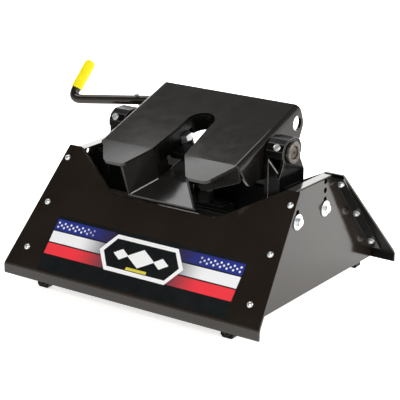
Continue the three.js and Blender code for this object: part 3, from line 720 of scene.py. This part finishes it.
def bushing(hand):
    node = f"pivot_bushing_{hand}"
    outward = OUTWARD[hand]
    start, length = span(node, outward)
    total = length / MM
    bore, sleeve, rim, chamfer = (BUSHING[key] for key in ("bore", "sleeve", "rim", "chamfer"))
    shoulder = total - BUSHING["rim_length"]
    profile = [
        (bore, 0), (sleeve, 0), (sleeve, shoulder), (rim, shoulder), (rim, total - chamfer),
        (rim - 1.4, total), (bore + 2.3, total), (bore, total - chamfer), (bore, 0),
    ]
    bm = bmesh.new()
    turned(bm, profile, start, outward, 64, 0.7)
    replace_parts(finish_mesh(bm, f"{node}_turned", RING, "base"), node)


def pin(hand):
    """A headed pin, chamfered and centre-drilled at its outer end."""
    node = f"pivot_pin_{hand}"
    outward = OUTWARD[hand]
    start, length = span(node, outward)
    total = length / MM
    head, thickness = PIN_HEAD["radius"], PIN_HEAD["thickness"]
    drilled = total - 2.2
    profile = [
        (0, 0), (head, 0), (head, thickness), (PIN_RADIUS, thickness), (PIN_RADIUS, total - 1.5),
        (PIN_RADIUS - 1.8, total), (4.2, total), (2.6, drilled), (0, drilled),
    ]
    bm = bmesh.new()
    turned(bm, profile, start, outward, 64, 0.6)
    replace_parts(finish_mesh(bm, f"{node}_turned", PIN, "head"), node)


def cap_bolt(hand):
    node = f"pivot_cap_bolt_{hand}"
    start, _ = span(node, CAP_FACE)
    bm = bmesh.new()
    washer(bm, *CAP_BOLT["washer"], start, CAP_FACE)
    hex_block(bm, *CAP_BOLT["head"], start + CAP_FACE * 1.55 * MM, CAP_FACE, turn=0.3, dish=0.3)
    shank = CAP_BOLT["shank"]
    turned(bm, [(0, 0.1), (shank, 0.1), (shank, 2), (0, 2)], start, CAP_FACE, 20, 0)
    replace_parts(finish_mesh(bm, f"{node}_set", ZINC, "base"), node)


for hand in ("left", "right"):
    bushing(hand)
    pin(hand)
    cap_bolt(hand)


# ---------------------------------------------------------------- head
SLOT_HALF = 47.6  # half the slot's width at its mouth, and a little more
HOOK_BOLT = {"shoulder": 13.6, "shoulder_length": 6.7, "shank": 8, "flats": 31, "hex": 20}


def slot_wall(centre, normal):
    """True for the cut walls of the slot in the head plate."""
    return abs(normal.dot(HEAD_NORMAL)) < 0.3 and abs(centre.x - CENTRE_X) < SLOT_HALF * MM


plate = skin("head_plate", DECK, 0.9, segments=3, edge_wear_and_highlight=EDGE)
# Painted shade on the slot's cut walls.
recoat(plate, DEEP_SHADE_COAT, slot_wall)
# Painted shade on the head's side faces.
recoat(plate, SHADED_SIDE_COAT, lambda centre, normal: abs(normal.x) > 0.8 and not slot_wall(centre, normal))
skin("throat_casting", CAST, 1.4, segments=3)
skin("throat_floor", THROAT, 0.8, edge_wear_and_highlight=EDGE)
skin("hook", CAST, 1.6, segments=3)
skin("lock_bar", ZINC, 1.2, segments=3, edge_wear_and_highlight=ZINC)


def hook_bolt():
    start, length = span("hook_bolt", HEAD_NORMAL)
    shoulder, shank, step = HOOK_BOLT["shoulder"], HOOK_BOLT["shank"], HOOK_BOLT["shoulder_length"]
    top = length / MM - HOOK_BOLT["hex"]
    bm = bmesh.new()
    profile = [(0, 0), (shoulder, 0), (shoulder, step), (shank, step), (shank, top), (0, top)]
    turned(bm, profile, start, HEAD_NORMAL, 40, 0.5)
    hex_start = start + HEAD_NORMAL * (length - HOOK_BOLT["hex"] * MM)
    hex_block(bm, HOOK_BOLT["flats"], HOOK_BOLT["hex"], hex_start, HEAD_NORMAL, turn=0.4, both=True)
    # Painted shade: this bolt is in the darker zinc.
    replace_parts(finish_mesh(bm, "hook_bolt_turned", SHADED_ZINC, "head"), "hook_bolt")


hook_bolt()


# ---------------------------------------------------------------- release handle
ROD_RADIUS = 12
ROD_HEIGHT = 17
ROD_END = (-132, 96.7)  # inner end, in the head's own X and Y
ROD_TURN = (-424, 22.3)
ROD_BEND = 31.2  # how far the bend reaches along both of its straight parts
STUB = 95
GRIP_WAY = (X_AXIS * 16 + HEAD_ALONG * 91 + HEAD_NORMAL * 60).normalized()
GRIP_WALL = 2.2
HANDLE_BOLT = {"shank": 3.1, "flats": 10, "head": 5.6}
COIL = {"turns": 7, "steps": 28, "radius": 13.7, "wire": 1.1, "length": 50, "setback": 5, "kept": 0.3}


def on_head(x, along, height):
    """A point in the head's own directions, measured in mm from the pivot axis."""
    return PIVOT + (X_AXIS * x + HEAD_ALONG * along + HEAD_NORMAL * height) * MM


def rod_points(start, turn):
    """Centre line of the rod: straight, one bend, then the stub that the grip covers."""
    reach = ROD_BEND * MM
    into = turn + (start - turn).normalized() * reach
    after = turn + GRIP_WAY * reach
    points = [start.lerp(into, i / 12) for i in range(12)]
    for i in range(19):
        t = i / 18
        points.append(into.lerp(turn, t).lerp(turn.lerp(after, t), t))
    end = turn + GRIP_WAY * STUB * MM
    return points + [after.lerp(end, i / 4) for i in range(1, 5)]


def grip(turn):
    """The dipped grip: a rolled rim, a nearly straight body and a domed end."""
    outer = ROD_RADIUS + GRIP_WALL
    profile = [
        (ROD_RADIUS + 0.35, 33), (outer - 0.6, 31.8), (outer + 0.2, 32.6), (outer + 0.4, 34.5),
        (outer + 0.1, 38), (outer, 60), (outer + 0.05, 84), (outer, 100),
        (outer - 0.6, 105), (outer - 2, 108.6), (outer - 4.4, 111), (outer - 7.6, 112), (0, 112.2),
    ]
    bm = bmesh.new()
    turned(bm, profile, turn, GRIP_WAY, 48, 0)
    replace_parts(finish_mesh(bm, "handle_grip_dipped", VINYL, "handle"), "handle_grip")


def handle_bolt():
    foot, length = span("handle_bolt", HEAD_NORMAL)
    radius, flats, head = HANDLE_BOLT["shank"], HANDLE_BOLT["flats"], HANDLE_BOLT["head"]
    shank = length / MM - head - 0.1
    bm = bmesh.new()
    turned(bm, [(0, 0), (radius, 0), (radius, shank), (0, shank)], foot, HEAD_NORMAL, 24, 0.3)
    hex_start = foot + HEAD_NORMAL * (shank + 0.1) * MM
    hex_block(bm, flats, head, hex_start, HEAD_NORMAL, turn=0.2, dish=0.2)
    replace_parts(finish_mesh(bm, "handle_bolt_set", ZINC, "handle"), "handle_bolt")


def latch_coil(start, way):
    """The spring on the rod, wound a little closer in its middle."""
    side, up, _ = axes_for(way)
    count = COIL["turns"] * COIL["steps"]
    points = []
    for i in range(count + 1):
        t = i / count
        angle = 2 * math.pi * COIL["turns"] * t
        reach = COIL["setback"] + COIL["length"] * (t + 0.012 * math.sin(2 * math.pi * t))
        spoke = side * math.cos(angle) + up * math.sin(angle)
        points.append(start + (way * reach + spoke * COIL["radius"]) * MM)
    bm = bmesh.new()
    sweep(bm, points, lambda t: COIL["wire"] * MM, 10)
    coil = finish_mesh(bm, "latch_spring_coil", SPRING, "head")
    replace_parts(coil, "latch_spring")
    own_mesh(coil)


def handle():
    start, turn = on_head(*ROD_END, ROD_HEIGHT), on_head(*ROD_TURN, ROD_HEIGHT)
    bm = bmesh.new()
    sweep(bm, rod_points(start, turn), lambda t: ROD_RADIUS * MM, 32)
    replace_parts(finish_mesh(bm, "handle_rod_bent", GLOSS, "handle"), "handle_rod")
    grip(turn)
    handle_bolt()
    latch_coil(start, (turn - start).normalized())


handle()


# ---------------------------------------------------------------- welds
BEAD = {"pivot": 2.6, "guide": 1.5}
PROUD = 1  # how far the middle of a bead stands off the plates
SHORT = 4  # how far it stops before a corner
GUIDE_CORNER = ((90, -200, -57.2), (48, -138, -45.4))


def corner(x, y, z):
    return Vector((CENTRE_X + x * MM, y * MM, z * MM))


def reach_of(node, pick):
    """The nearest or farthest side of a node from the middle of the base, in mm."""
    low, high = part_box(node)
    return pick(abs(low.x - CENTRE_X), abs(high.x - CENTRE_X)) / MM


def base_welds():
    """The beads round the pivot plates where they straddle the crossbeam, and at the beam's ends."""
    beam_low, beam_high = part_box("crossbeam")
    half, top = beam_high.y / MM + PROUD, beam_high.z / MM + PROUD
    end = (beam_high.x - CENTRE_X) / MM - PROUD
    foot, beam_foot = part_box("pivot_upright_outer_right")[0].z / MM + 2, beam_low.z / MM + SHORT
    for hand, sign in SIDE_SIGNS:
        outer = reach_of(f"pivot_upright_outer_{hand}", max) + PROUD
        inner = reach_of(f"pivot_upright_inner_{hand}", min) - PROUD
        stretches = []
        for x in (sign * outer, sign * inner):
            stretches.append((corner(x, -half, foot), corner(x, -half, top - 2)))
            stretches.append((corner(x, half, foot), corner(x, half, top - 2)))
            stretches.append((corner(x, -half + SHORT, top), corner(x, half - SHORT, top)))
        for y in (-half, half):
            stretches.append((corner(sign * end, y, beam_foot), corner(sign * end, y, top - SHORT)))
        stretches.append((corner(sign * end, -half + SHORT, top), corner(sign * end, half - SHORT, top)))
        # Painted shade: these beads are in the deep shade coat.
        weld(f"pivot_welds_{hand}", stretches, BEAD["pivot"], "base")


def head_welds():
    """The beads that close the corners between the throat's floor and its sides."""
    for hand, sign in SIDE_SIGNS:
        ends = tuple(on_head(sign * x, along, height) for x, along, height in GUIDE_CORNER)
        # Painted highlight: these beads are near white.
        weld(f"guide_welds_{hand}", [ends], BEAD["guide"], "head", PAINTED_HIGHLIGHT_EDGE)


base_welds()
head_welds()


STOP_BOLT = {"aside": 4, "proud": 4.3, "height": 215.5}
STOP_BAR_DEPTH = 8.7
STOP_DOME = [(0, 0), (2.6, 0.4), (4.8, 1.5), (6.2, 3.0), (6.6, 4.2), (0, 4.2)]


def stop_bar_bolt():
    """A dome head in the middle of the stop bar, into the front of the crossbeam."""
    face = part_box("crossbeam")[0].y - STOP_BAR_DEPTH * MM
    place = (CENTRE_X + STOP_BOLT["aside"] * MM, face - STOP_BOLT["proud"] * MM, STOP_BOLT["height"] * MM)
    bm = bmesh.new()
    turned(bm, STOP_DOME, Vector(place), Y_AXIS, 28, 0)
    finish_mesh(bm, "stop_bar_bolt", ZINC, "base")


stop_bar_bolt()


# ---------------------------------------------------------------- decal on the front panel
PANEL_FACE = Vector((CENTRE_X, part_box("front_panel")[0].y, PANEL_BEND_Z))
SLOPE_LENGTH = 337.2
FILM_THICKNESS = 0.12
LIFT = {"backing": 0.1, "bars": 0.3, "ground": 0.4, "top": 0.5}  # each film stands on the one below it
BAR_ENDS = (-272, 278)
BAR_INNER = 92
BACKING_FOOT, BACKING_TOP = 8, 0.445 * SLOPE_LENGTH
BAR_STRIPS = {"blue": (0.335, 0.420, BLUE), "white": (0.240, 0.325, WHITE), "red": (0.145, 0.230, RED)}
DOTS = {"columns": 13, "pitch": 9, "inset": 10, "radius": 2.8, "pair": (0.024, 0.057), "single": (0.040,)}
EMBLEM_X, EMBLEM_S = 3, 0.275 * SLOPE_LENGTH
HEXAGON = {"half": 122, "rise": 46, "shoulder": 88, "line": 10}
GROUND = ((114, 0), (84, 42), (-84, 42), (-114, 0), (-84, -42), (84, -42))
DIAMONDS = ((0, 40, 24), (58, 22, 14), (-58, 22, 14))  # place across, half width and half height
ACCENT_BAR = (-30, 30, -34, -27)


def on_panel(x, s, lift):
    return PANEL_FACE + (X_AXIS * x + FRONT_UP * s + FRONT_NORMAL * lift) * MM


def patch(bm, points, lift):
    """A thin closed plate of film with this outline, in mm across and up the front panel."""
    low = [bm.verts.new(on_panel(x, s, lift)) for x, s in points]
    high = [bm.verts.new(on_panel(x, s, lift + FILM_THICKNESS)) for x, s in points]
    bm.faces.new(low[::-1])
    bm.faces.new(high)
    for i in range(len(points)):
        j = (i + 1) % len(points)
        bm.faces.new((low[i], low[j], high[j], high[i]))


def strip(x0, x1, s0, s1, radius=2.0):
    """A rectangle with rounded corners."""
    points = []
    quarter_steps = 4
    for cx, cs, turn in ((x1, s0, -90), (x1, s1, 0), (x0, s1, 90), (x0, s0, 180)):
        ix = cx - radius if cx == x1 else cx + radius
        js = cs - radius if cs == s1 else cs + radius
        for k in range(quarter_steps + 1):
            a = math.radians(turn + 90 / quarter_steps * k)
            points.append((ix + radius * math.cos(a), js + radius * math.sin(a)))
    return points


def disc(x, s, radius):
    count = 20
    angles = [2 * math.pi * i / count for i in range(count)]
    return [(x + radius * math.cos(a), s + radius * math.sin(a)) for a in angles]


def flat_piece(bm, name, material):
    bmesh.ops.recalc_face_normals(bm, faces=bm.faces)
    mesh = bpy.data.meshes.new(name)
    bm.to_mesh(mesh)
    bm.free()
    return add_object(name, mesh, material, "base")


def film_piece(name, material, outlines, lift):
    bm = bmesh.new()
    for points in outlines:
        patch(bm, points, lift)
    return flat_piece(bm, name, material)


def dot_places(low):
    """Rows of dots from both ends of the blue bar, one and two to a column by turns."""
    left, right = BAR_ENDS
    for side, end in ((-1, -left), (1, right)):
        for i in range(DOTS["columns"]):
            x = side * (end - DOTS["inset"] - DOTS["pitch"] * i)
            for row in DOTS["single"] if i % 2 else DOTS["pair"]:
                yield x, (low + row) * SLOPE_LENGTH


def decal():
    left, right = BAR_ENDS
    film_piece("decal_backing", BACKING, [strip(left, right, BACKING_FOOT, BACKING_TOP, 4)], LIFT["backing"])
    for name, (low, high, material) in BAR_STRIPS.items():
        s0, s1 = low * SLOPE_LENGTH, high * SLOPE_LENGTH
        bars = [strip(left + 2, -BAR_INNER, s0, s1, 1), strip(BAR_INNER, right - 2, s0, s1, 1)]
        film_piece(f"decal_{name}_bars", material, bars, LIFT["bars"])
    dots = [disc(x, s, DOTS["radius"]) for x, s in dot_places(BAR_STRIPS["blue"][0])]
    film_piece("decal_dots", DOT, dots, LIFT["top"])
    emblem()


def from_emblem(points):
    return [(EMBLEM_X + x, EMBLEM_S + s) for x, s in points]


def diamond(x, half, rise):
    return from_emblem([(x + half, 0), (x, rise), (x - half, 0), (x, -rise)])


def hexagon_frame(bm, half, rise, shoulder, line, lift):
    """A wide six-sided frame of film, as four rings joined round."""
    rings = []
    top = lift + FILM_THICKNESS
    for inset, height in ((0, lift), (0, top), (line, top), (line, lift)):
        a, r, w = half - 1.25 * inset, rise - inset, shoulder - 0.4 * inset
        corners = from_emblem([(a, 0), (w, r), (-w, r), (-a, 0), (-w, -r), (w, -r)])
        rings.append([bm.verts.new(on_panel(x, s, height)) for x, s in corners])
    loft(bm, rings, closed=True)


def emblem():
    """A plain sign: three diamonds in a six-sided frame, with a short bar under them."""
    bm = bmesh.new()
    hexagon_frame(bm, **HEXAGON, lift=LIFT["top"])
    film_piece("decal_ground", BACKING, [from_emblem(GROUND)], LIFT["ground"])
    for place, half, rise in DIAMONDS:
        patch(bm, diamond(place, half, rise), LIFT["top"])
    flat_piece(bm, "decal_emblem", EMBLEM)
    x0, x1, s0, s1 = ACCENT_BAR
    bar = strip(EMBLEM_X + x0, EMBLEM_X + x1, EMBLEM_S + s0, EMBLEM_S + s1, 2)
    film_piece("decal_accent", ACCENT, [bar], LIFT["top"])


decal()


# ---------------------------------------------------------------- stage, light and camera
FLOOR_HALF = 14
FLOOR_DROP = 0.4 * MM
WARM_WHITE = (1, 0.985, 0.965, 1)
WALL_WHITE = (1, 0.985, 0.96, 1)
FLOOR_GLOW = (-0.8, 0.9, 0.50, 1.42)  # from Y, to Y, and the glow at each
WALL_GLOW = (-0.10, 0.80, 0.45, 3.5)  # the same for the walls, by direction
CEILING_FADE = (0.32, 0.62, 1.0, 0.07)  # from height, to height, and the share at each
LIGHTS = {
    "overhead_softbox": {
        "place": (-1.20, 0.15, 2.5), "target": (0, 0, 0.35), "width": 1.5, "height": 1.05, "radiance": 2.7,
    },
    "right_softbox": {
        "place": (3.0, 0.2, 2.2), "target": (0, 0, 0.2), "width": 2.4, "height": 1.8, "radiance": 3.0,
    },
    "front_fill": {
        "place": (0.6, -3.2, 2.6), "target": (0, 0, 0.2), "width": 2.0, "height": 1.2, "radiance": 8.0,
    },
}
CAMERA = {
    "azimuth": 34.86, "elevation": 18.066, "roll": 0.327, "distance": 3.7887, "lens": 139.1,
    "target": (-0.0069, 0, 0.198),
}


def stage_material():
    """A white sweep, lit up more behind the object than in front of it."""
    n = Nodes("pale_floor")
    split = n.tree.nodes.new("ShaderNodeSeparateXYZ")
    n.link(n.place, split.inputs["Vector"])
    tone = n.spread(n.noise(0.8, 2), 0.3, 0.7, 0, 1)
    color = n.blend(tone, (0.90, 0.90, 0.90), (0.93, 0.93, 0.93))
    n.shader.inputs["Emission Color"].default_value = WARM_WHITE
    n.link(n.spread(split.outputs["Y"], *FLOOR_GLOW), n.shader.inputs["Emission Strength"])
    return n.finish(color, 0.9, None, 0.0)


def floor():
    mesh = bpy.data.meshes.new("floor")
    corners = [(-1, -1), (1, -1), (1, 1), (-1, 1)]
    mesh.from_pydata([(FLOOR_HALF * x, FLOOR_HALF * y, -FLOOR_DROP) for x, y in corners], [], [(0, 1, 2, 3)])
    mesh.materials.append(stage_material())
    piece = bpy.data.objects.new("floor", mesh)
    bpy.context.scene.collection.objects.link(piece)


def area_light(name, place, target, width, height, radiance):
    data = bpy.data.lights.new(name, "AREA")
    data.shape = "RECTANGLE"
    data.size = width
    data.size_y = height
    data.energy = radiance * math.pi * width * height
    light = bpy.data.objects.new(name, data)
    light.location = place
    light.rotation_euler = (Vector(target) - Vector(place)).to_track_quat("-Z", "Y").to_euler()
    light.visible_camera = False
    bpy.context.scene.collection.objects.link(light)


def world():
    """A studio: bright low walls, brighter behind, and a dim ceiling."""
    scene_world = bpy.data.worlds.new("studio")
    bpy.context.scene.world = scene_world
    scene_world.use_nodes = True
    tree = scene_world.node_tree
    place = tree.nodes.new("ShaderNodeTexCoord").outputs["Generated"]
    split = tree.nodes.new("ShaderNodeSeparateXYZ")
    tree.links.new(place, split.inputs["Vector"])

    def ramp(value, limits):
        node = smooth_range(tree, *limits)
        tree.links.new(value, node.inputs["Value"])
        return node.outputs["Result"]

    def times(a, b):
        node = tree.nodes.new("ShaderNodeMath")
        node.operation = "MULTIPLY"
        tree.links.new(a, node.inputs[0])
        tree.links.new(b, node.inputs[1])
        return node.outputs["Value"]

    walls = ramp(split.outputs["Y"], WALL_GLOW)
    height = ramp(split.outputs["Z"], CEILING_FADE)
    tree.links.new(times(walls, height), tree.nodes["Background"].inputs["Strength"])
    tree.nodes["Background"].inputs["Color"].default_value = WALL_WHITE


floor()
world()
for name, light in LIGHTS.items():
    area_light(name, **light)


def camera():
    azimuth, elevation = math.radians(CAMERA["azimuth"]), math.radians(CAMERA["elevation"])
    back = Vector((
        math.sin(azimuth) * math.cos(elevation),
        -math.cos(azimuth) * math.cos(elevation),
        math.sin(elevation),
    ))
    target = Vector((CENTRE_X, 0, 0)) + Vector(CAMERA["target"])
    data = bpy.data.cameras.new("camera")
    data.lens = CAMERA["lens"]
    data.sensor_width = 36
    data.clip_end = 60
    eye = bpy.data.objects.new("camera", data)
    bpy.context.scene.collection.objects.link(eye)
    turn = (-back).to_track_quat("-Z", "Y").to_matrix().to_4x4()
    roll = Matrix.Rotation(math.radians(CAMERA["roll"]), 4, "Z")
    eye.matrix_world = Matrix.Translation(target + back * CAMERA["distance"]) @ turn @ roll
    bpy.context.scene.camera = eye


camera()
bpy.context.scene.view_settings.view_transform = "Standard"
